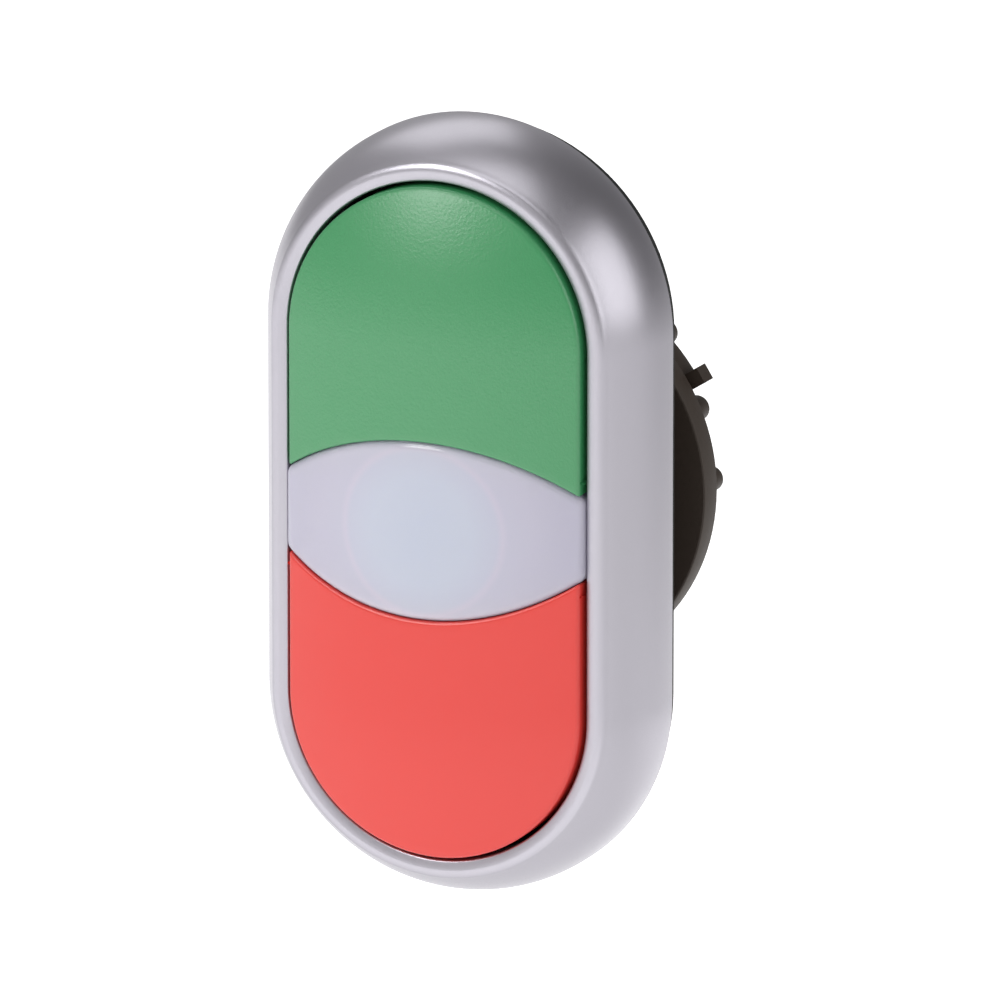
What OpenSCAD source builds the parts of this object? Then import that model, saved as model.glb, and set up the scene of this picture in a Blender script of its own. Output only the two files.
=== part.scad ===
// Illuminated double pushbutton head for a 22.5 mm panel hole: a silver bezel
// with two rounded ends, a green button over a red one, a white lens between
// them, and a threaded barrel with a thrust ring and a ring nut behind.
//
// Every module draws the head lying on its back, x to the right, y up and z
// out of the panel towards the user. upright() turns that to +Z up with the
// face towards -Y. The origin is on the barrel axis, on the panel's front
// face, which is where the gasket's rear face rests.

/* [Bezel] */
// Half the distance between the centres of the two rounded ends
face_half = 13; // [11:0.1:16]
// Outer radius of the bezel's rounded ends
bezel_r = 14.75; // [13.6:0.05:17.5]
// Radius of the front opening's rounded ends
opening_r = 11.35; // [9.6:0.05:12.2]
// Width of the flat land round the opening
land_w = 1.05; // [0.7:0.05:1.3]
// Depth of the bezel from its front edge to its rear edge
bezel_depth = 7.5; // [6.6:0.1:9]
// Wall thickness of the bezel
bezel_wall = 1.3; // [1:0.05:1.5]
// Angle of the flank to the face where it leaves the land
flank_angle = 50; // [45:1:58]

/* [Buttons and lens] */
// Gap between a button and the opening
button_gap = 0.3; // [0.2:0.05:0.45]
// Height of a button's rim above the bezel's front edge
rim_proud = 0.45; // [0.2:0.05:0.8]
// Rise of the domed faces from the rim to the middle
dome_rise = 2.25; // [1:0.05:2.8]
// Half the height of the eye-shaped window at its middle
eye_mid = 6.4; // [5.6:0.1:7]
// Half the height of the eye-shaped window at its two ends
eye_end = 2.86; // [2.3:0.02:3.4]
// Gap between the lens and a button
lens_gap = 0.25; // [0.2:0.01:0.4]
// Edge rounding of the caps and lens
edge_round = 0.45; // [0.3:0.05:0.6]
// Wall thickness of the caps and lens
cap_wall = 1.2; // [0.9:0.05:1.3]
// Stroke of a button
stroke = 3.2; // [2.4:0.1:3.2]

/* [Housing and barrel] */
// Thickness of the panel gasket
gasket_t = 0.9; // [0.6:0.1:1.4]
// Thickness of the housing's rear flange
flange_t = 0.8; // [0.6:0.1:1.2]
// Outer radius of the barrel over its thread
barrel_r = 11.05; // [10.95:0.01:11.15]
// Wall thickness of the barrel
barrel_wall = 1.65; // [1.5:0.05:1.7]
// Length of the barrel behind the panel's front face
barrel_len = 13.5; // [12.5:0.5:18]
// Length of the plain neck behind the panel's front face
neck_len = 5; // [4.7:0.1:5.2]
// Inner radius of the light tube, which takes the lamp
tube_bore_r = 4; // [3.6:0.05:4.1]

/* [Ring and nut] */
// Gap between the gasket and the thrust ring, as set on the head
ring_gap = 4.9; // [4:0.1:6]
// Outer radius of the thrust ring
ring_r = 14.3; // [13.8:0.1:16]
// Thickness of the thrust ring
ring_t = 2.2; // [1.6:0.1:2.6]
// Length of the ring nut
nut_len = 2.4; // [2:0.1:3.4]
// How far the nut's rim stands inside the thrust ring's
nut_inset = 1.5; // [1.3:0.1:1.7]
// Radius of one grip knob on the nut
knob_r = 0.9; // [0.8:0.05:1.05]

/* [Hidden] */
$fn = 96;

// heights above the panel's front face
flange_top = gasket_t + flange_t;
floor_t = 0.8;
floor_top = flange_top + floor_t;
lip_z = flange_top + bezel_depth;
lip_under = lip_z - 1.6;
skirt_z = floor_top + stroke + 1.3;
plate_z = skirt_z - 1;
pedestal_z = floor_top + 2.5;
lens_skirt_z = pedestal_z + 0.3;
cup_top = lip_z + 0.5;

// bezel profile
crease_r = opening_r + land_w;
land_drop = 0.12;
// a wide bezel takes a flatter flank, so that it still ends above the flange
flattest = 2 * (atan((bezel_depth - 0.8) / (bezel_r - crease_r)) - 45);
flank_start = min(flank_angle, flattest);
flank_r = (bezel_r - crease_r) / (1 - sin(flank_start));
flank_cx = bezel_r - flank_r;
flank_cz = lip_z - flank_r * cos(flank_start);
hollow_r = bezel_r - bezel_wall;
bead_w = 0.5;
// inner radius of the bezel's hollow at a height
function hollow_at(z) =
    z < flank_cz ? hollow_r : flank_cx + sqrt(pow(flank_r - bezel_wall, 2) - pow(z - flank_cz, 2));
well_r = min(opening_r + 0.85, hollow_at(lip_under - 0.4) - 0.03);
seal_r = min(well_r, hollow_at(lip_under)) - 0.1;
lug_top = floor_top + 1.9;
snap_r = min(hollow_r, hollow_at(lug_top)) - 0.1;

// domed faces
button_r = opening_r - button_gap;
lens_r = opening_r - 0.2;
apex_z = lip_z + rim_proud + dome_rise;
dome_r = (button_r * button_r + dome_rise * dome_rise) / (2 * dome_rise);
dome_cz = apex_z - dome_r;

// the eye-shaped window is where two circles overlap
eye_sag = eye_mid - eye_end;
eye_r = (opening_r * opening_r + eye_sag * eye_sag) / (2 * eye_sag);
eye_cy = eye_mid - eye_r;

// barrel
neck_r = barrel_r - 0.25;
bore_r = barrel_r - barrel_wall;
key_w = 2.4;
key_depth = 0.9;
sleeve_end = 9;

// light tube, which is kept clear of the lens's skirt
lamp_r = min(tube_bore_r, eye_mid - lens_gap - cap_wall - 0.9);
tube_r = lamp_r + 0.7;
tube_seat_r = tube_r + 0.1;
tube_end = sleeve_end + 1.5;
sleeve_r = tube_seat_r + 1.3;
seal_pocket_r = tube_seat_r + 0.8;

// plungers
stem_out = bore_r - 0.3;
stem_in = stem_out - 1.8;
stem_half = 30;
stem_end = barrel_len - 2;
spring_y = face_half + 2.5;
spring_r = 2.3;
wire_r = 0.25;
cup_r = 3.3;
cup_wall = 0.5;
pin_x = 5.2;
pin_y = face_half + 4.5;
pin_r = 1.1;

// thrust ring and nut
nut_gap = 0.1;
nut_front = ring_gap + ring_t + nut_gap;
nut_r = ring_r - nut_inset;
knob_angles = [0.5, 23.5];
wing_r = ring_r - 0.4;
lug_angle = 32;
wing_end = 48;
lug_w = 1.2;
lug_out = 0.7;

module upright() {
    rotate([90, 0, 0]) children();
}

// turns a piece drawn at the upper end round to the lower end
module lower_end() {
    rotate([0, 0, 180]) children();
}

// carries a [radius, height] profile right round the two-ended outline
module sweep(half) {
    for (turn = [0, 180]) rotate([0, 0, turn]) {
        translate([0, half, 0]) rotate_extrude(angle = 180) children();
        translate([0, half, 0]) rotate([90, 0, 0]) linear_extrude(2 * half) children();
    }
}

module stadium(r, z0, z1) {
    translate([0, 0, z0]) linear_extrude(z1 - z0) union() {
        translate([-r, -face_half]) square([2 * r, 2 * face_half]);
        for (y = [-face_half, face_half]) translate([0, y]) circle(r);
    }
}

// a wedge of a ring, centred on +y
module arc_block(r0, r1, half_angle, z0, z1) {
    translate([0, 0, z0]) rotate([0, 0, 90 - half_angle])
        rotate_extrude(angle = 2 * half_angle)
            translate([r0, 0]) square([r1 - r0, z1 - z0]);
}

// the side of a domed piece from the middle outwards, its rim rounded by f in flats
function side_points(r, z0, f, big) =
    let (rim = dome_cz + sqrt(pow(big - f, 2) - pow(r - f, 2)),
         last = atan2(rim - dome_cz, r - f),
         corner = [for (i = [0 : 5]) [r - f + f * cos(last * i / 5), rim + f * sin(last * i / 5)]],
         past = 2 * corner[5] - corner[4])
    f > 0 ? concat([[r, z0]], corner, [past, [past[0], apex_z + 1]]) : [[r, z0], [r, apex_z + 1]];

// the area under a dome of radius big, as wide both ways
module domed(r, z0, f, big) {
    right = side_points(r, z0, f, big);
    left = [for (i = [len(right) - 1 : -1 : 0]) [-right[i][0], right[i][1]]];
    intersection() {
        translate([0, dome_cz]) circle(big);
        polygon(concat(right, left));
    }
}

// the upper half of the face under a dome of radius big
module upper_half(r, z0, f, big) {
    intersection() {
        translate([0, face_half, 0]) rotate_extrude(angle = 180)
            polygon(concat(side_points(r, z0, f, big), [[0, apex_z + 1], [0, z0]]));
        translate([0, face_half, dome_cz]) rotate([90, 0, 0]) sphere(big);
    }
    translate([0, face_half, 0]) rotate([90, 0, 0]) linear_extrude(face_half) domed(r, z0, f, big);
}

// cuts the eye-shaped window out of what lies above it
module eye_cut(inset) {
    translate([0, eye_cy, -1]) cylinder(r = eye_r + inset, h = apex_z + 2);
}

// the eye-shaped outline, shrunk all round by inset, as an upright block
module eye_block(inset, z0, z1) {
    intersection() {
        for_eye(eye_r - lens_gap - inset, z0, z1, 1);
        for_eye(eye_r - lens_gap - inset, z0, z1, -1);
        translate([-lens_r + inset, -eye_mid, z0])
            cube([2 * (lens_r - inset), 2 * eye_mid, z1 - z0]);
    }
}

module for_eye(r, z0, z1, way) {
    translate([0, way * eye_cy, z0]) cylinder(r = r, h = z1 - z0);
}

// ---- the fixed head ----

module housing() {
    color([0.09, 0.09, 0.1]) upright() {
        difference() {
            union() {
                stadium(bezel_r - 0.4, gasket_t, flange_top);
                stadium(hollow_r - 0.1, flange_top - 0.1, floor_top);
                stadium(well_r, floor_top - 0.1, lip_under - 0.4);
                for (x = [-1, 1]) for (y = [-0.7, 0, 0.7]) snap_lug(x, y * face_half);
                locating_nib();
                barrel();
            }
            difference() {
                stadium(opening_r, floor_top, lip_z);
                eye_block(0.1, floor_top - 1, pedestal_z);
                eye_posts();
            }
            translate([0, 0, -barrel_len - 1]) cylinder(r = tube_seat_r, h = barrel_len + lip_z + 1);
            for (side = [0, 180]) rotate([0, 0, side]) {
                arc_block(stem_in - 0.2, stem_out + 0.2, stem_half + 1.5, gasket_t - 1, floor_top + 1);
                translate([0, spring_y, floor_top - 1.2]) cylinder(r = spring_r + 0.7, h = 2);
            }
            for (x = [-1, 1]) translate([x * opening_r - 1.5, -2, lip_under - 1.2]) cube([3, 4, 2]);
        }
    }
}

// two posts inside the lens that keep it from shifting
module eye_posts() {
    intersection() {
        eye_block(cap_wall + 0.1, pedestal_z - 1, pedestal_z + 1.8);
        union() {
            translate([tube_r + 0.7, -eye_mid, 0]) cube([opening_r, 2 * eye_mid, lip_z]);
            translate([-opening_r - tube_r - 0.7, -eye_mid, 0]) cube([opening_r, 2 * eye_mid, lip_z]);
        }
    }
}

// one of the lugs on the well's wall that the bezel's bead snaps behind
module snap_lug(side, y) {
    reach = snap_r - well_r + 0.2;
    translate([side * (well_r - 0.2 + reach / 2), y, lug_top - 0.5]) cube([reach, 4, 1], center = true);
}

// keeps the head upright in a panel hole that has a notch at its top
module locating_nib() {
    translate([-1.4, barrel_r + 0.65, -1.3]) cube([2.8, 0.4, gasket_t + 1.4]);
}

module barrel() {
    difference() {
        union() {
            translate([0, 0, -neck_len - 0.1]) cylinder(r = neck_r, h = neck_len + 0.2 + gasket_t);
            translate([0, 0, 0.6 - barrel_len]) cylinder(r = barrel_r, h = barrel_len - neck_len - 0.6);
            translate([0, 0, -barrel_len]) cylinder(r1 = barrel_r - 0.6, r2 = barrel_r, h = 0.6);
        }
        difference() {
            translate([0, 0, -barrel_len - 1]) cylinder(r = bore_r, h = barrel_len + 1 + gasket_t);
            translate([0, 0, -sleeve_end]) cylinder(r = sleeve_r, h = sleeve_end + gasket_t + 1);
        }
        translate([0, 0, -sleeve_end - 1]) cylinder(r = seal_pocket_r, h = 2);
        translate([-barrel_r - 1, -key_w / 2, -barrel_len - 1])
            cube([1 + key_depth, key_w, barrel_len + 2 + gasket_t]);
        for (x = [-1, 1]) translate([x * barrel_r - 2.5, -2, -barrel_len - 1]) cube([5, 4, 3.2]);
    }
}

module bezel_section() {
    difference() {
        union() {
            translate([0, flange_top]) square([bezel_r, flank_cz - flange_top]);
            intersection() {
                translate([flank_cx, flank_cz]) circle(flank_r);
                translate([0, flank_cz - 0.1]) square([bezel_r, lip_z - flank_cz + 0.1]);
            }
            translate([0, flank_cz - 0.1]) square([flank_cx, lip_z - flank_cz + 0.1]);
        }
        translate([-1, flange_top - 1]) square([opening_r + 1, lip_z]);
        translate([-1, flange_top - 1]) square([hollow_r + 1, flank_cz - flange_top + 1]);
        intersection() {
            translate([flank_cx, flank_cz]) circle(flank_r - bezel_wall);
            translate([0, flank_cz - 0.1]) square([bezel_r, lip_under - flank_cz + 0.1]);
        }
        translate([-1, flank_cz - 0.1]) square([flank_cx + 1, lip_under - flank_cz + 0.1]);
        polygon([[opening_r - 1, lip_z - land_drop], [opening_r, lip_z - land_drop],
                 [crease_r, lip_z], [crease_r, lip_z + 1], [opening_r - 1, lip_z + 1]]);
    }
    // the bead that snaps behind the housing's lugs
    translate([hollow_r - bead_w, floor_top + 0.1]) square([bead_w + 0.3, 0.7]);
}

module bezel() {
    color([0.72, 0.72, 0.74]) upright() sweep(face_half) bezel_section();
}

module bezel_seal() {
    color([0.13, 0.13, 0.13]) upright() difference() {
        stadium(seal_r, lip_under - 0.4, lip_under);
        stadium(opening_r + 0.15, lip_under - 1, lip_under + 1);
    }
}

module panel_gasket() {
    color([0.13, 0.13, 0.13]) upright() difference() {
        stadium(bezel_r - 0.7, 0, gasket_t);
        translate([0, 0, -1]) cylinder(r = barrel_r + 1.25, h = gasket_t + 2);
    }
}

module eye_run() {
    translate([0, eye_mid + 1, 0]) rotate([90, 0, 0]) linear_extrude(2 * eye_mid + 2) children();
}

module lens() {
    color([0.87, 0.87, 0.92]) upright() {
        difference() {
            intersection() {
                eye_block(0, lens_skirt_z, apex_z + 1);
                eye_run() domed(lens_r, lens_skirt_z - 1, edge_round, dome_r);
            }
            intersection() {
                eye_block(cap_wall, lens_skirt_z - 1, apex_z + 1);
                eye_run() domed(lens_r - cap_wall, lens_skirt_z - 2, 0, dome_r - cap_wall - 0.2);
            }
        }
        for (x = [-1, 1]) translate([x * (opening_r + 0.05), 0, lip_under - 0.75])
            cube([1.3, 3.6, 0.7], center = true);
    }
}

module lens_seal() {
    color([0.13, 0.13, 0.13]) upright() difference() {
        eye_block(0.1, pedestal_z, lens_skirt_z);
        eye_block(cap_wall, pedestal_z - 1, lens_skirt_z + 1);
    }
}

module light_tube() {
    color([0.86, 0.88, 0.9]) upright() difference() {
        union() {
            translate([0, 0, -tube_end]) cylinder(r = tube_r, h = tube_end + lip_z - 0.2);
            intersection() {
                translate([0, 0, pedestal_z]) cylinder(r = tube_r + 0.5, h = 0.8);
                eye_block(cap_wall + 0.15, pedestal_z - 1, pedestal_z + 1);
            }
        }
        translate([0, 0, -tube_end - 1]) cylinder(r = lamp_r, h = tube_end + lip_z + 1);
        translate([0, 0, -sleeve_end - 0.7]) difference() {
            cylinder(r = tube_r + 1, h = 0.6);
            translate([0, 0, -1]) cylinder(r = tube_r - 0.25, h = 2);
        }
    }
}

module tube_seal() {
    color([0.13, 0.13, 0.13]) upright() translate([0, 0, -sleeve_end + 0.45])
        rotate_extrude() translate([tube_r + 0.45, 0]) circle(0.43, $fn = 32);
}

module tube_clip() {
    color([0.6, 0.6, 0.62]) upright() difference() {
        translate([0, 0, -sleeve_end - 0.65]) cylinder(r = tube_r + 1.3, h = 0.5);
        translate([0, 0, -sleeve_end - 1]) cylinder(r = tube_r - 0.2, h = 2);
        translate([0, -1.6, -sleeve_end - 1]) cube([tube_r + 3, 3.2, 2]);
    }
}

// ---- one button, drawn at the upper end ----

module cap() {
    pin_rise = dome_cz + sqrt(dome_r * dome_r - pow(pin_x, 2) - pow(pin_y - face_half, 2)) - cap_wall / 2;
    difference() {
        upper_half(button_r, skirt_z, edge_round, dome_r);
        eye_cut(0);
        difference() {
            upper_half(button_r - cap_wall, skirt_z - 1, 0, dome_r - cap_wall - 0.1);
            eye_cut(cap_wall);
        }
    }
    for (x = [-pin_x, pin_x]) translate([x, pin_y, plate_z]) cylinder(r = pin_r, h = pin_rise - plate_z);
}

module plunger() {
    difference() {
        union() {
            difference() {
                translate([0, 0, plate_z]) linear_extrude(skirt_z - plate_z) union() {
                    translate([0, face_half]) circle(button_r - 0.35);
                    translate([0.35 - button_r, 0]) square([2 * button_r - 0.7, face_half]);
                }
                eye_cut(0.35);
            }
            translate([0, spring_y, plate_z]) cylinder(r = cup_r, h = cup_top - plate_z);
            arc_block(stem_in, stem_out, stem_half, -stem_end, plate_z + 0.1);
            // shoulders that stop under the housing's floor
            arc_block(stem_in + 0.2, stem_out - 0.2, stem_half + 4, -3, gasket_t - 0.1);
            translate([0, (stem_in + stem_out) / 2, -stem_end - 1.7]) cylinder(r = 0.6, h = 2);
        }
        translate([0, spring_y, plate_z - 1]) cylinder(r = cup_r - cup_wall, h = cup_top - 0.5 - plate_z + 1);
        for (x = [-pin_x, pin_x]) translate([x, pin_y, plate_z - 1]) cylinder(r = pin_r + 0.05, h = 3);
    }
}

// closed rings on a thin spine stand for the coil
module spring() {
    z0 = floor_top - 1.2 + wire_r;
    z1 = cup_top - 0.5 - wire_r;
    turns = 6;
    translate([0, spring_y, 0]) {
        for (i = [0 : turns]) translate([0, 0, z0 + i * (z1 - z0) / turns])
            rotate_extrude() translate([spring_r, 0]) circle(wire_r, $fn = 24);
        translate([spring_r, 0, z0]) cylinder(r = wire_r * 0.6, h = z1 - z0, $fn = 24);
    }
}

module foot() {
    difference() {
        arc_block(tube_r + 0.9, stem_out - 0.1, stem_half + 8, -stem_end - 1.7, -stem_end);
        translate([0, (stem_in + stem_out) / 2, -stem_end - 3]) cylinder(r = 0.65, h = 5);
    }
}

module green_cap() { color([0.3, 0.63, 0.42]) upright() cap(); }
module green_plunger() { color([0.12, 0.12, 0.13]) upright() plunger(); }
module green_spring() { color([0.7, 0.7, 0.72]) upright() spring(); }
module green_foot() { color([0.16, 0.16, 0.17]) upright() foot(); }
module red_cap() { color([0.91, 0.33, 0.3]) upright() lower_end() cap(); }
module red_plunger() { color([0.12, 0.12, 0.13]) upright() lower_end() plunger(); }
module red_spring() { color([0.7, 0.7, 0.72]) upright() lower_end() spring(); }
module red_foot() { color([0.16, 0.16, 0.17]) upright() lower_end() foot(); }

// ---- what clamps the panel ----

module thrust_ring() {
    color([0.2, 0.19, 0.19]) upright() {
        difference() {
            translate([0, 0, -ring_gap - ring_t]) cylinder(r = ring_r, h = ring_t);
            translate([0, 0, -ring_gap - ring_t - 1]) cylinder(r = barrel_r + 0.1, h = ring_t + 2);
        }
        // the key that runs in the barrel's groove
        translate([-barrel_r - 0.6, -key_w / 2 + 0.1, -ring_gap - ring_t])
            cube([0.6 + key_depth - 0.2, key_w - 0.2, ring_t]);
    }
}

module ring_nut() {
    color([0.11, 0.11, 0.12]) upright() difference() {
        union() {
            translate([0, 0, -nut_front - nut_len]) cylinder(r = nut_r, h = nut_len);
            for (third = [0, 120, 240]) rotate([0, 0, third]) {
                for (a = knob_angles) rotate([0, 0, a]) knob(nut_r);
                wing();
            }
        }
        translate([0, 0, -nut_front - nut_len - 1]) cylinder(r = barrel_r + 0.05, h = nut_len + 2);
    }
}

module knob(r) {
    translate([r, 0, -nut_front - nut_len + 0.1]) cylinder(r = knob_r, h = nut_len - 0.2);
}

// a raised stretch of the rim, from a lug for the ring key to a knob
module wing() {
    middle = (lug_angle + wing_end) / 2;
    rotate([0, 0, middle - 90])
        arc_block(nut_r - 1, wing_r, (wing_end - lug_angle) / 2, -nut_front - nut_len + 0.2, -nut_front - 0.3);
    rotate([0, 0, wing_end]) knob(wing_r);
    rotate([0, 0, lug_angle]) translate([nut_r - 0.8, -lug_w / 2, -nut_front - nut_len + 0.4])
        cube([ring_r + lug_out - nut_r + 0.8, lug_w, nut_len - 0.9]);
}

housing();
bezel();
bezel_seal();
panel_gasket();
lens();
lens_seal();
light_tube();
tube_seal();
tube_clip();
green_cap();
green_plunger();
green_spring();
green_foot();
red_cap();
red_plunger();
red_spring();
red_foot();
thrust_ring();
ring_nut();
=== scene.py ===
"""The looks of a 22.5 mm double pushbutton head, put together in the order it is assembled.

Lengths are in metres and a length written with MM is in millimetres. The face looks towards -Y and the
barrel runs back along +Y.
"""
import math

import bmesh
import bpy
from mathutils import Matrix, Vector


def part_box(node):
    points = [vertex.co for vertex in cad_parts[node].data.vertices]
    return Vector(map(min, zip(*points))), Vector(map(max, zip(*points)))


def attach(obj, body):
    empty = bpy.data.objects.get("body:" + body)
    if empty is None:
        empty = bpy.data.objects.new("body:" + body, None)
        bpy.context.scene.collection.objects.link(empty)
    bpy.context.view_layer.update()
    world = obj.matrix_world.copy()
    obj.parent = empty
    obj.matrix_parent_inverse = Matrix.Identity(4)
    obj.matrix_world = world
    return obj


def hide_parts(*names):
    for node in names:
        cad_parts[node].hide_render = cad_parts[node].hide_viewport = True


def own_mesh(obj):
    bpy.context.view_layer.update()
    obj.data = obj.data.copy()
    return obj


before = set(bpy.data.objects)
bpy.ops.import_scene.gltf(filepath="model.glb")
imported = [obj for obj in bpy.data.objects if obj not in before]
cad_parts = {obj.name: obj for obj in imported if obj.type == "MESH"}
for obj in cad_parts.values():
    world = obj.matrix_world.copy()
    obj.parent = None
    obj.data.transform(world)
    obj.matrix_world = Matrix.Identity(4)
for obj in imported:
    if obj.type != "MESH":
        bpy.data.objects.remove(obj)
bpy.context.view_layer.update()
MM = 0.001


# ---- Housing: one black moulding, with the flange, the buttons' well and the barrel ----
# Glass-filled plastic straight from a spark-eroded tool, so it is matt with a fine grain. The solid is
# shown as it is, with the barrel's thread cut into it.

def linear(hex_colour):
    """A colour picked on a screen, as the linear values that a shader takes."""
    parts = [int(hex_colour[i:i + 2], 16) / 255 for i in (1, 3, 5)]
    return tuple(c / 12.92 if c <= 0.04045 else ((c + 0.055) / 1.055) ** 2.4 for c in parts) + (1.0,)


def add(tree, kind, settings=(), links=()):
    """Adds one shader node. A setting names an input socket or an attribute; a link is (input, output)."""
    node = tree.nodes.new(kind)
    for name, value in dict(settings).items():
        if isinstance(name, int) or name in node.inputs:
            node.inputs[name].default_value = value
        else:
            setattr(node, name, value)
    for name, output in dict(links).items():
        tree.links.new(output, node.inputs[name])
    return node


def material(name, **settings):
    """A named material with one Principled shader; returns (material, tree, shader)."""
    made = bpy.data.materials.new(name)
    made.use_nodes = True
    shader = made.node_tree.nodes["Principled BSDF"]
    for key, value in settings.items():
        shader.inputs[key.replace("_", " ")].default_value = value
    return made, made.node_tree, shader


def grain(tree, shader, size, depth):
    """Moulded or sprayed grain: a noise of that size, as a bump of that depth, both in metres."""
    where = add(tree, "ShaderNodeTexCoord")
    noise = add(tree, "ShaderNodeTexNoise", {"Scale": 1 / size, "Detail": 2.0},
                {"Vector": where.outputs["Object"]})
    bump = add(tree, "ShaderNodeBump", {"Strength": 1.0, "Distance": depth}, {"Height": noise.outputs["Fac"]})
    tree.links.new(bump.outputs["Normal"], shader.inputs["Normal"])
    return noise


def dress(node, mat, ease=0.0):
    """Gives a CAD node its material and, where ease is set, a small rounded edge."""
    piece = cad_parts[node]
    piece.data.materials.clear()
    piece.data.materials.append(mat)
    if ease:
        weld = piece.modifiers.new("weld", "WELD")
        weld.merge_threshold = 0.002 * MM
        bevel = piece.modifiers.new("ease", "BEVEL")
        bevel.width = ease
        bevel.segments = 2
        bevel.limit_method = "ANGLE"
        bevel.angle_limit = math.radians(40)
    return piece


def settle(bm, name, mat, body, *stands_for):
    """Turns a bmesh into a finished piece that rides on a body and stands for CAD nodes."""
    mesh = bpy.data.meshes.new(name)
    bm.to_mesh(mesh)
    bm.free()
    mesh.materials.clear()
    mesh.materials.append(mat)
    mesh.polygons.foreach_set("material_index", [0] * len(mesh.polygons))
    mesh.polygons.foreach_set("use_smooth", [True] * len(mesh.polygons))
    mesh.set_sharp_from_angle(angle=math.radians(35))
    piece = bpy.data.objects.new(name, mesh)
    bpy.context.scene.collection.objects.link(piece)
    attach(piece, body)
    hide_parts(*stands_for)
    return piece


black_moulding, tree, shader = material("black_glass_filled_plastic", Base_Color=linear("#1c1c1e"),
                                        Roughness=0.5)
grain(tree, shader, 0.12 * MM, 0.006 * MM)

barrel_r = 11.05 * MM
barrel_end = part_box("housing")[1].y
barrel_rim = 0.9 * MM
neck_end = 5.0 * MM
pitch = 1.5 * MM
thread_turns = int((barrel_end - barrel_rim - neck_end) / pitch)
past_barrel = 0.2 * MM
groove_depth = 0.55 * MM
mouth_half = 0.72 * MM
root_half = 0.12 * MM
steps_a_turn = 72

# the thread's groove, as a screw-shaped solid that is cut out of the barrel
bm = bmesh.new()
groove = [(barrel_r + past_barrel, -mouth_half), (barrel_r - groove_depth, -root_half),
          (barrel_r - groove_depth, root_half), (barrel_r + past_barrel, mouth_half)]
corners = [bm.verts.new((r, neck_end + pitch / 2 + along, 0)) for r, along in groove]
bm.faces.new(corners)
bmesh.ops.spin(bm, geom=bm.verts[:] + bm.edges[:] + bm.faces[:], cent=(0, 0, 0), axis=(0, 1, 0),
               dvec=(0, pitch / steps_a_turn, 0), angle=2 * math.pi * thread_turns,
               steps=steps_a_turn * thread_turns, use_duplicate=False)
bmesh.ops.recalc_face_normals(bm, faces=bm.faces[:])
cutter_mesh = bpy.data.meshes.new("thread_groove")
bm.to_mesh(cutter_mesh)
bm.free()
cutter = bpy.data.objects.new("thread_groove", cutter_mesh)
bpy.context.scene.collection.objects.link(cutter)

bm = bmesh.new()
bm.from_mesh(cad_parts["housing"].data)
bmesh.ops.remove_doubles(bm, verts=bm.verts[:], dist=0.001 * MM)
bmesh.ops.dissolve_limit(bm, angle_limit=math.radians(0.5), verts=bm.verts[:], edges=bm.edges[:])
housing = settle(bm, "threaded_housing", black_moulding, "head", "housing")
cut = housing.modifiers.new("thread", "BOOLEAN")
cut.operation = "DIFFERENCE"
cut.solver = "EXACT"
cut.object = cutter
threaded = bpy.data.meshes.new_from_object(housing.evaluated_get(bpy.context.evaluated_depsgraph_get()))
housing.modifiers.clear()
housing.data = threaded
bpy.data.objects.remove(cutter)
threaded.set_sharp_from_angle(angle=math.radians(30))


# ---- Panel gasket and the small seals: soft black rubber ----
# Cut and moulded rubber has no gloss at all. The gasket's cut edge is the thin black line behind the bezel.

rubber, tree, shader = material("black_seal_rubber", Base_Color=linear("#141414"), Roughness=0.75)
grain(tree, shader, 0.2 * MM, 0.004 * MM)
for seal in ("panel_gasket", "bezel_seal", "lens_seal", "tube_seal"):
    dress(seal, rubber)


# ---- Bezel: a moulded ring with satin silver lacquer ----
# A flat land runs round the opening, then the flank curves back to the panel. It snaps over the housing's
# lugs. The section is carried round both ends and down both sides, as its tool was turned and milled.

def arc(cx, cy, r, start, end, steps):
    """Points on an arc, angles in degrees."""
    turn = [math.radians(start + (end - start) * i / steps) for i in range(steps + 1)]
    return [(cx + r * math.cos(t), cy + r * math.sin(t)) for t in turn]


bezel_low, bezel_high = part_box("bezel")
bezel_r = bezel_high.x
face_half = bezel_high.z - bezel_r
lip_y = bezel_low.y
bezel_back = bezel_high.y
button_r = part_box("green_cap")[1].x
opening_r = button_r + 0.3 * MM
crease_r = opening_r + 1.05 * MM
land_drop = 0.12 * MM
flank_start = math.radians(50)
flank_r = (bezel_r - crease_r) / (1 - math.sin(flank_start))
flank_cx = bezel_r - flank_r
flank_cy = lip_y + flank_r * math.cos(flank_start)
bezel_wall = 1.3 * MM
lip_t = 1.6 * MM
inner_end = math.degrees(math.asin((flank_cy - lip_y - lip_t) / (flank_r - bezel_wall)))

section = [(opening_r, lip_y + lip_t)]
section += arc(opening_r + 0.15 * MM, lip_y + land_drop + 0.15 * MM, 0.15 * MM, 180, 262, 4)
section += arc(crease_r - 0.35 * MM, lip_y + 0.95 * MM, 0.95 * MM, -93, -55, 8)
section += arc(flank_cx, flank_cy, flank_r, -37, 0, 22)
section += arc(bezel_r - 0.2 * MM, bezel_back - 0.2 * MM, 0.2 * MM, 0, 90, 4)
section += [(bezel_r - bezel_wall, bezel_back)]
section += arc(flank_cx, flank_cy, flank_r - bezel_wall, 0, -inner_end, 8)

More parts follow.
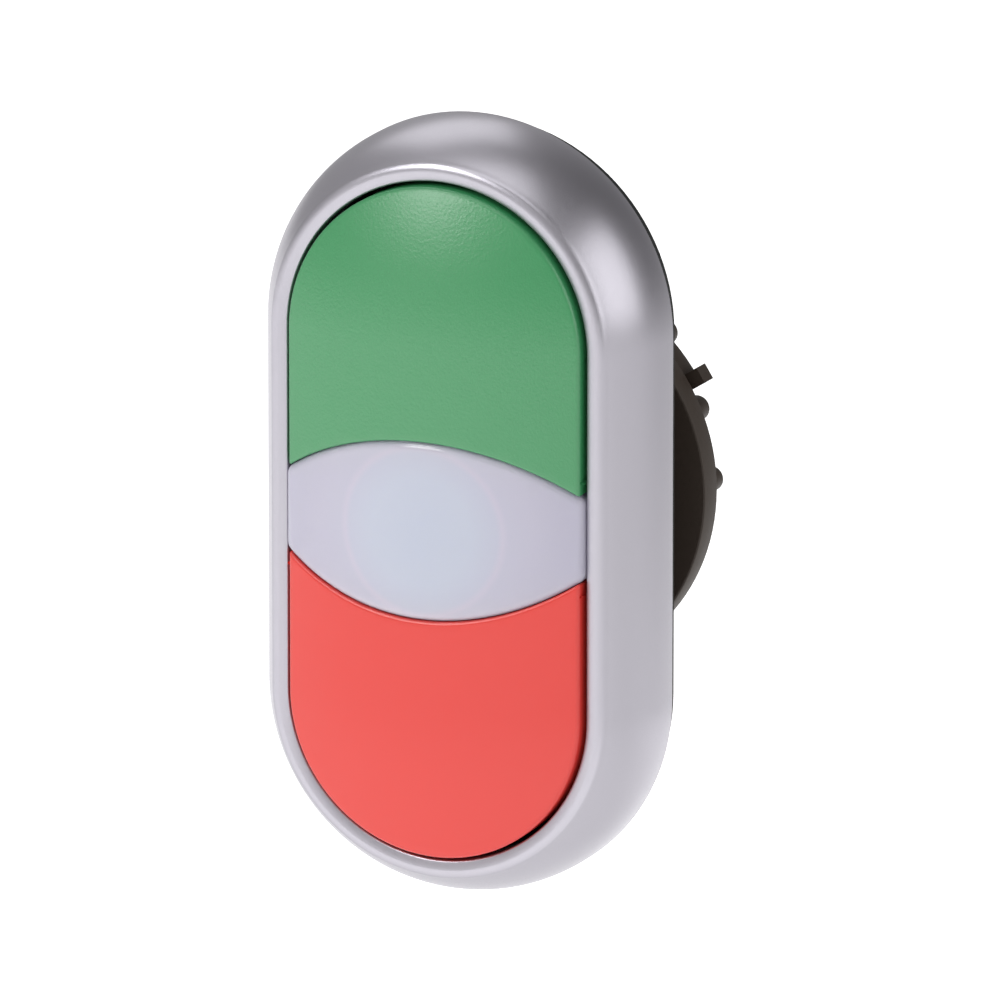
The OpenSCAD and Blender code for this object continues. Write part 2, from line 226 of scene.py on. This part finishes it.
bm = bmesh.new()
ring = [bm.verts.new((x, y, face_half)) for x, y in section]
edges = [bm.edges.new((a, b)) for a, b in zip(ring, ring[1:] + ring[:1])]
for end in (1, -1):
    turned = bmesh.ops.spin(bm, geom=edges, cent=(0, 0, end * face_half), axis=(0, 1, 0),
                            angle=-math.pi, steps=64, use_duplicate=False)
    edges = [e for e in turned["geom_last"] if isinstance(e, bmesh.types.BMEdge)]
    run = bmesh.ops.extrude_edge_only(bm, edges=edges)["geom"]
    edges = [e for e in run if isinstance(e, bmesh.types.BMEdge)]
    ends = [v for v in run if isinstance(v, bmesh.types.BMVert)]
    bmesh.ops.translate(bm, verts=ends, vec=(0, 0, -end * 2 * face_half))
bmesh.ops.remove_doubles(bm, verts=bm.verts[:], dist=0.001 * MM)
bmesh.ops.recalc_face_normals(bm, faces=bm.faces[:])

# the lacquer's aluminium flakes are drawn 0.13 mm across, coarser than real ones, so that they show
silver, tree, shader = material("satin_silver_lacquer", Base_Color=linear("#b5b2ba"), Metallic=0.85)
flake = grain(tree, shader, 0.13 * MM, 0.004 * MM)
glint = add(tree, "ShaderNodeMapRange", {"From Min": 0.3, "From Max": 0.7, "To Min": 0.29, "To Max": 0.38},
            {"Value": flake.outputs["Fac"]})
tree.links.new(glint.outputs["Result"], shader.inputs["Roughness"])
settle(bm, "bezel_ring", silver, "head", "bezel")


# ---- Light tube and its clip: the clear tube that carries the lamp's light ----
# A turned-looking clear moulding pushed in from the front and held by a spring clip behind.

clear, tree, shader = material("clear_plastic_tube", Base_Color=linear("#e8ecef"), Roughness=0.12, IOR=1.49)
shader.inputs["Transmission Weight"].default_value = 0.6
grain(tree, shader, 1.5 * MM, 0.003 * MM)
dress("light_tube", clear)

steel, tree, shader = material("drawn_spring_steel", Base_Color=linear("#b4b4b8"), Metallic=1.0)
where = add(tree, "ShaderNodeTexCoord")
draw = add(tree, "ShaderNodeTexNoise", {"Scale": 1 / (0.3 * MM), "Detail": 2.0},
           {"Vector": where.outputs["Object"]})
dull = add(tree, "ShaderNodeMapRange", {"To Min": 0.22, "To Max": 0.4}, {"Value": draw.outputs["Fac"]})
tree.links.new(dull.outputs["Result"], shader.inputs["Roughness"])
dress("tube_clip", steel)


# ---- Button caps: green above and red below, two-ended pillows cut by the lens's window ----
# Each cap is a thin moulding with a domed face and a rounded rim. The green one comes from a tool with a
# fine spark-eroded grain, the red one from a smoother one.

eye_mid = 6.4 * MM
eye_end = 2.86 * MM
eye_sag = eye_mid - eye_end
eye_r = (opening_r ** 2 + eye_sag ** 2) / (2 * eye_sag)
eye_cz = eye_mid - eye_r
rim_y = lip_y - 0.45 * MM
dome_rise = 2.25 * MM
dome_r = (button_r ** 2 + dome_rise ** 2) / (2 * dome_rise)
touching = 0.001 * MM


def dome(x, z):
    """How far the face stands in front of the rim's plane at a point."""
    off = math.hypot(x, max(0.0, abs(z) - face_half))
    return math.sqrt(max(dome_r ** 2 - off ** 2, 0)) - math.sqrt(dome_r ** 2 - button_r ** 2)


def at_a_corner(edge, corners):
    """Whether an edge runs front to back at one of the (x, z) corners."""
    near, far = edge.verts[0].co, edge.verts[1].co
    along = abs(near.y - far.y) > 0.5 * MM
    return along and any((Vector((near.x, near.z)) - Vector(c)).length < touching for c in corners)


def pillow(outline, corners, skirt_y, rim, wall):
    """A hollow domed cap over an outline of (x, z) points, its rim and the named corners rounded."""
    bm = bmesh.new()
    front = [bm.verts.new((x, rim_y, z)) for x, z in outline]
    face = bm.faces.new(front)
    grown = bmesh.ops.extrude_face_region(bm, geom=[face])["geom"]
    bmesh.ops.translate(bm, verts=[v for v in grown if isinstance(v, bmesh.types.BMVert)],
                        vec=(0, skirt_y - rim_y, 0))
    upright = [e for e in bm.edges if at_a_corner(e, corners)]
    rim_edges = [e for e in bm.edges if all(abs(v.co.y - rim_y) < touching for v in e.verts)]
    bmesh.ops.bevel(bm, geom=upright + rim_edges, offset=rim, segments=6, profile=0.5, affect="EDGES",
                    material=-1, clamp_overlap=True)
    back = [f for f in bm.faces if all(abs(v.co.y - skirt_y) < touching for v in f.verts)]
    bmesh.ops.delete(bm, geom=back, context="FACES")
    # the flat front is cut into a fine grid, which is then raised into the dome
    step = 0.7 * MM
    for k in range(-40, 41):
        for normal in ((1, 0, 0), (0, 0, 1)):
            plane = (k * step, 0, 0) if normal[0] else (0, 0, k * step)
            bmesh.ops.bisect_plane(bm, geom=bm.verts[:] + bm.edges[:] + bm.faces[:], dist=0.005 * MM,
                                   plane_co=plane, plane_no=normal)
    for v in bm.verts:
        if v.co.y < rim_y + rim + touching:
            v.co.y -= dome(v.co.x, v.co.z)
    bmesh.ops.recalc_face_normals(bm, faces=bm.faces[:])
    bmesh.ops.solidify(bm, geom=bm.faces[:], thickness=wall)
    return bm


def peg(bm, x, z, r, front, rear):
    """Adds a round peg that runs along the barrel's axis from front to rear."""
    place = Matrix.Translation((x, (front + rear) / 2, z)) @ Matrix.Rotation(math.radians(90), 4, "X")
    bmesh.ops.create_cone(bm, cap_ends=True, segments=32, radius1=r, radius2=r, depth=rear - front,
                          matrix=place)


def eye_arc(shrink, half_w, steps):
    """The window's upper edge out to half_w on both sides, moved towards the middle by shrink."""
    r = eye_r - shrink
    reach = math.degrees(math.asin(half_w / r))
    return [(r * math.sin(math.radians(t)), eye_cz + r * math.cos(math.radians(t)))
            for t in [-reach + 2 * reach * i / steps for i in range(steps + 1)]]


skirt_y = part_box("green_cap")[0].y + 5.2 * MM
rim_round = 0.26 * MM
cap_wall = 0.9 * MM
pin_x = 5.2 * MM
pin_z = face_half + 4.5 * MM
pin_r = 1.1 * MM
pin_front, pin_rear = -10.6 * MM, -6 * MM
low_edge = eye_arc(0, button_r, 40)
cap_outline = low_edge + [(x, face_half + z) for x, z in arc(0, 0, button_r, 0, 180, 72)]

green, tree, shader = material("green_grained_plastic", Base_Color=linear("#338a53"), Roughness=0.38)
shader.inputs["Specular IOR Level"].default_value = 1.0
grain(tree, shader, 0.2 * MM, 0.02 * MM)
bm = pillow(cap_outline, (low_edge[0], low_edge[-1]), skirt_y, rim_round, cap_wall)
for x in (-pin_x, pin_x):
    peg(bm, x, pin_z, pin_r, pin_front, pin_rear)
settle(bm, "green_button", green, "green_button", "green_cap")

red, tree, shader = material("red_smooth_plastic", Base_Color=linear("#d93d36"), Roughness=0.26)
grain(tree, shader, 0.3 * MM, 0.002 * MM)
bm = pillow([(-x, -z) for x, z in cap_outline], [(-x, -z) for x, z in (low_edge[0], low_edge[-1])],
            skirt_y, rim_round, cap_wall)
for x in (-pin_x, pin_x):
    peg(bm, x, -pin_z, pin_r, pin_front, pin_rear)
settle(bm, "red_button", red, "red_button", "red_cap")


# ---- Lens: the milky diffuser between the buttons ----
# An eye-shaped cap of white translucent plastic, flush with the buttons' domes, standing on a thin seal.

lens_gap = 0.04 * MM
lens_rim = 0.5 * MM
upper = eye_arc(lens_gap, opening_r - lens_gap, 30)
lens_outline = upper + [(-x, -z) for x, z in upper]
lens_corners = (upper[0], upper[-1], (-upper[0][0], -upper[0][1]), (-upper[-1][0], -upper[-1][1]))

milk, tree, shader = material("milky_diffuser_plastic", Roughness=0.12, IOR=1.49)
shader.inputs["Subsurface Weight"].default_value = 1.0
shader.inputs["Subsurface Radius"].default_value = (1.0, 1.0, 1.0)
shader.inputs["Subsurface Scale"].default_value = 2.5 * MM
grain(tree, shader, 2.0 * MM, 0.004 * MM)
# painted light: a faint lighter ring is painted into the milky plastic's colour where the light tube's rim
# would glow through it, with a cooler disc inside it; the tone also darkens slightly towards the lens's ends
painted_ring_r = 6.0 * MM
where = add(tree, "ShaderNodeTexCoord")
flat = add(tree, "ShaderNodeVectorMath", {"operation": "MULTIPLY", 1: (1, 0, 1)},
           {0: where.outputs["Object"]})
far = add(tree, "ShaderNodeVectorMath", {"operation": "LENGTH"}, {0: flat.outputs["Vector"]})
ramp_reach = 12 * MM
shade = add(tree, "ShaderNodeMapRange", {"From Min": 0.0, "From Max": ramp_reach},
            {"Value": far.outputs["Value"]})
painted_glow_ramp = add(tree, "ShaderNodeValToRGB", {}, {"Fac": shade.outputs["Result"]})
painted_glow_bands = painted_glow_ramp.color_ramp.elements
painted_glow_bands[0].color = linear("#bcc1d0")
painted_glow_bands[1].position = 1.0
painted_glow_bands[1].color = linear("#b3b0c0")
# colour stops of the painted glow ring, in mm from its radius, and the slightly darker tone beyond it
painted_ring_steps = ((-2.2, "#bec2d0"), (-0.4, "#bdbecd"), (0.0, "#c3becd"), (0.4, "#bdbbca"), (2.0, "#bcb9c8"))
for at, colour in painted_ring_steps:
    painted_glow_band = painted_glow_bands.new((painted_ring_r + at * MM) / ramp_reach)
    painted_glow_band.color = linear(colour)
tree.links.new(painted_glow_ramp.outputs["Color"], shader.inputs["Base Color"])
lens_wall = 1.1 * MM
bm = pillow(lens_outline, lens_corners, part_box("lens")[1].y, lens_rim, lens_wall)
tab = Matrix.Diagonal((1.3 * MM, 0.7 * MM, 3.6 * MM, 1))
tab_y = lip_y + 2.35 * MM
for x in (-opening_r - 0.05 * MM, opening_r + 0.05 * MM):
    bmesh.ops.create_cube(bm, size=1, matrix=Matrix.Translation((x, tab_y, 0)) @ tab)
settle(bm, "diffuser_lens", milk, "head", "lens")


# ---- Plungers, feet and return springs: what works under the caps ----
# Black sliders clipped into the caps, whose stems run through the barrel to feet behind it.

for side in ("green", "red"):
    dress(side + "_plunger", black_moulding)
    dress(side + "_foot", black_moulding)

wire_r = 0.25 * MM
coils = 7
steps_a_coil = 36
for side in ("green", "red"):
    low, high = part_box(side + "_spring")
    coil_r = (high.x - low.x) / 2 - wire_r
    centre = (0, low.y, (low.z + high.z) / 2)
    bm = bmesh.new()
    turn = Matrix.Translation((coil_r, low.y + wire_r, centre[2]))
    bmesh.ops.create_circle(bm, cap_ends=True, segments=10, radius=wire_r, matrix=turn)
    rise = (high.y - low.y - 2 * wire_r) / (coils * steps_a_coil)
    bmesh.ops.spin(bm, geom=bm.verts[:] + bm.edges[:] + bm.faces[:], cent=centre, axis=(0, 1, 0),
                   dvec=(0, rise, 0), angle=2 * math.pi * coils, steps=steps_a_coil * coils,
                   use_duplicate=False)
    bmesh.ops.recalc_face_normals(bm, faces=bm.faces[:])
    coil = settle(bm, side + "_return_spring", steel, "head", side + "_spring")
    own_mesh(coil)


# ---- Thrust ring and ring nut: what clamps the panel ----
# Both are grey-black glass-filled mouldings. The nut's knobs are for fingers and its lugs for a ring key.

grey_moulding, tree, shader = material("grey_black_plastic", Base_Color=linear("#33281f"), Roughness=0.62)
grain(tree, shader, 0.15 * MM, 0.006 * MM)
dress("thrust_ring", grey_moulding, 0.14 * MM)
dress("ring_nut", grey_moulding, 0.18 * MM)


# ---- Studio: white floor, soft light and the camera ----

plane = bmesh.new()
bmesh.ops.create_grid(plane, x_segments=1, y_segments=1, size=6.0)
floor_mesh = bpy.data.meshes.new("floor")
plane.to_mesh(floor_mesh)
plane.free()
floor = bpy.data.objects.new("floor", floor_mesh)
floor.location = (0, 0, -0.09)
bpy.context.scene.collection.objects.link(floor)
paper, tree, shader = material("backlit_white_sheet", Base_Color=(0.8, 0.8, 0.8, 1), Roughness=0.9)
shader.inputs["Emission Color"].default_value = (1, 1, 1, 1)
where = add(tree, "ShaderNodeTexCoord")
depth = add(tree, "ShaderNodeSeparateXYZ", {}, {"Vector": where.outputs["Object"]})
run = add(tree, "ShaderNodeMapRange", {"From Min": -0.5, "From Max": 0.3}, {"Value": depth.outputs["Y"]})
lit = add(tree, "ShaderNodeFloatCurve", {}, {"Value": run.outputs["Result"]})
# from far in front, past the darker stretch under the object, to the bright sheet behind it
levels = lit.mapping.curves[0].points
levels[0].location = (0.0, 0.8)
levels[1].location = (1.0, 0.85)
for at, level in ((0.3, 0.82), (0.5, 0.92), (0.65, 0.48), (0.8, 0.85)):
    levels.new(at, level)
lit.mapping.update()
dim = add(tree, "ShaderNodeMapRange", {"From Min": 0.05, "From Max": 0.35, "To Min": 1.0, "To Max": 0.66},
          {"Value": depth.outputs["X"]})
glow = add(tree, "ShaderNodeMath", {"operation": "MULTIPLY"},
           {0: lit.outputs["Value"], 1: dim.outputs["Result"]})
# the corner behind on the right is darker still, for the shade along the bezel's far edge
corner = add(tree, "ShaderNodeVectorMath", {"operation": "DOT_PRODUCT", 1: (0.8, 0.9, 0)},
             {0: where.outputs["Object"]})
shade = add(tree, "ShaderNodeMapRange", {"From Min": 0.29, "From Max": 0.42, "To Min": 1.0, "To Max": 0.3},
            {"Value": corner.outputs["Value"]})
glow = add(tree, "ShaderNodeMath", {"operation": "MULTIPLY"},
           {0: glow.outputs["Value"], 1: shade.outputs["Result"]})
tree.links.new(glow.outputs["Value"], shader.inputs["Emission Strength"])
floor_mesh.materials.append(paper)

world = bpy.data.worlds.new("studio")
bpy.context.scene.world = world
world.use_nodes = True
tree = world.node_tree
where = add(tree, "ShaderNodeTexCoord")
# the room is darkest high on the right behind the head
dark_side = Vector((0.65, 0.5, 0.57)).normalized()
turn = add(tree, "ShaderNodeVectorMath", {"operation": "DOT_PRODUCT", 1: dark_side},
           {0: where.outputs["Object"]})
room = add(tree, "ShaderNodeMapRange", {"From Min": 0.55, "From Max": 0.95, "To Min": 0.36, "To Max": 0.05},
           {"Value": turn.outputs["Value"]})
tree.nodes["Background"].inputs["Color"].default_value = (1, 1, 1, 1)
tree.links.new(room.outputs["Result"], tree.nodes["Background"].inputs["Strength"])


def soft_light(name, place, target, size, power):
    """A square soft light at place, facing target."""
    data = bpy.data.lights.new(name, "AREA")
    data.size = size
    data.energy = power
    lamp = bpy.data.objects.new(name, data)
    lamp.location = place
    lamp.rotation_euler = (Vector(target) - Vector(place)).to_track_quat("-Z", "Y").to_euler()
    bpy.context.scene.collection.objects.link(lamp)


soft_light("front_box", (-0.3, -0.62, 0.42), (0, 0, 0), 0.24, 1.85)
soft_light("right_box", (0.577, 0.075, 0.215), (0, 0, 0), 0.46, 1.25)
soft_light("crest_light", (-0.27, -0.29, 0.58), (0, 0, 0), 0.12, 0.8)
soft_light("overhead_box", (0.06, -0.12, 0.6), (0, 0, 0), 0.4, 0.6)
soft_light("rear_box", (-0.24, 0.35, 0.43), (0, 0, 0), 0.36, 0.45)

azimuth = math.radians(23.95)
elevation = math.radians(14.83)
right = Vector((math.cos(azimuth), math.sin(azimuth), 0))
back = Vector((math.sin(azimuth) * math.cos(elevation), -math.cos(azimuth) * math.cos(elevation),
               math.sin(elevation)))
up = back.cross(right)
aim = Vector((0, lip_y, 0)) + 4.46 * MM * right + 1.61 * MM * up
distance = 1.2
frame_width = 69.44 * MM
camera_data = bpy.data.cameras.new("camera")
camera_data.sensor_width = 36
camera_data.lens = 36 * distance / frame_width
camera_data.clip_start = 0.01
camera_data.clip_end = 50
camera = bpy.data.objects.new("camera", camera_data)
camera.location = aim + distance * back
camera.rotation_euler = (-back).to_track_quat("-Z", "Y").to_euler()
bpy.context.scene.collection.objects.link(camera)
bpy.context.scene.camera = camera
bpy.context.scene.view_settings.view_transform = "Standard"
